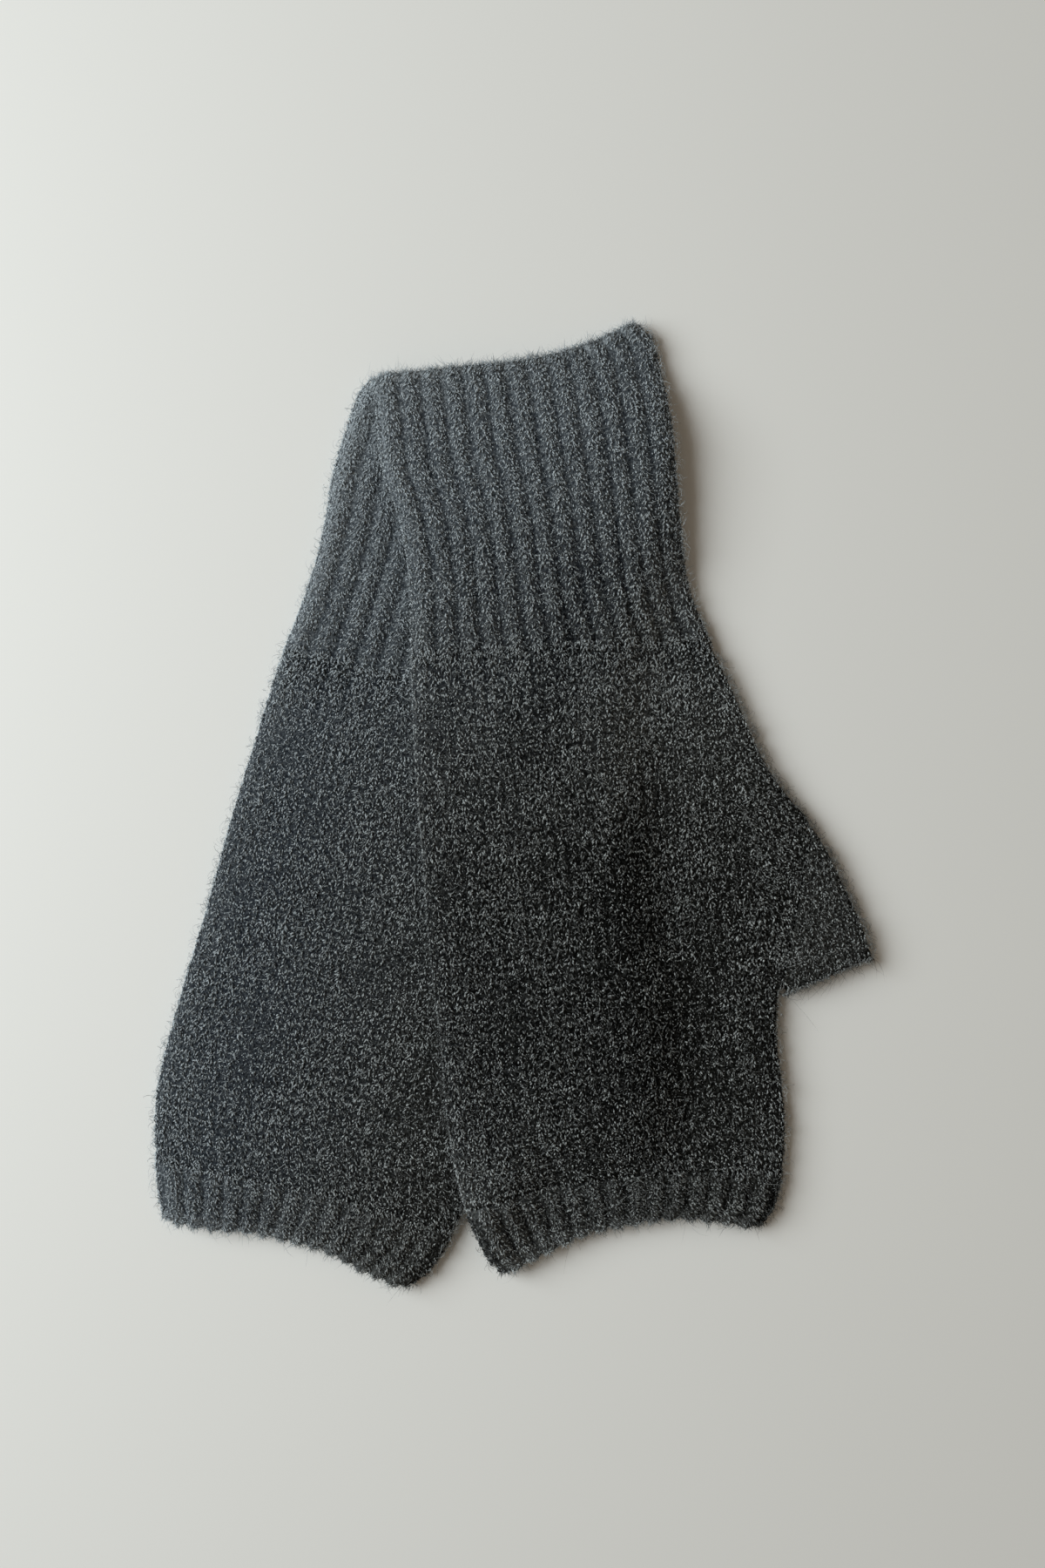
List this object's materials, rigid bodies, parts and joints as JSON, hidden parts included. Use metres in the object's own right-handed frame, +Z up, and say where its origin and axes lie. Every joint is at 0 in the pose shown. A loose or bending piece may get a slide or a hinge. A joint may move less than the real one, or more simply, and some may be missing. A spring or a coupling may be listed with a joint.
{
  "type": "pair of knitted fingerless mittens laid flat",
  "caption": "Pair of charcoal wool fingerless mittens with ribbed cuffs, plain hands and half thumbs, laid flat with one fanned out over the other.",
  "frame": {"origin": "centre of the bounding box's bottom face, on the surface that the pair lies on", "axes": "+Z up from the surface, +Y from the fingers towards the wrists, +X towards the upper mitten's thumb"},
  "size_m": [0.1913, 0.256, 0.0108],
  "materials": {
    "rib_wool": "heathered charcoal wool in 1x1 rib, soft and fuzzy",
    "plain_wool": "heathered charcoal wool in plain knit, soft and fuzzy"
  },
  "bodies": {
    "root": {"lower_wrist_rib": "rib_wool", "lower_hand": "plain_wool", "lower_thumb": "plain_wool", "lower_finger_rib": "rib_wool", "upper_wrist_rib": "rib_wool", "upper_hand": "plain_wool", "upper_thumb": "plain_wool", "upper_finger_rib": "rib_wool"}
  },
  "joints": []
}
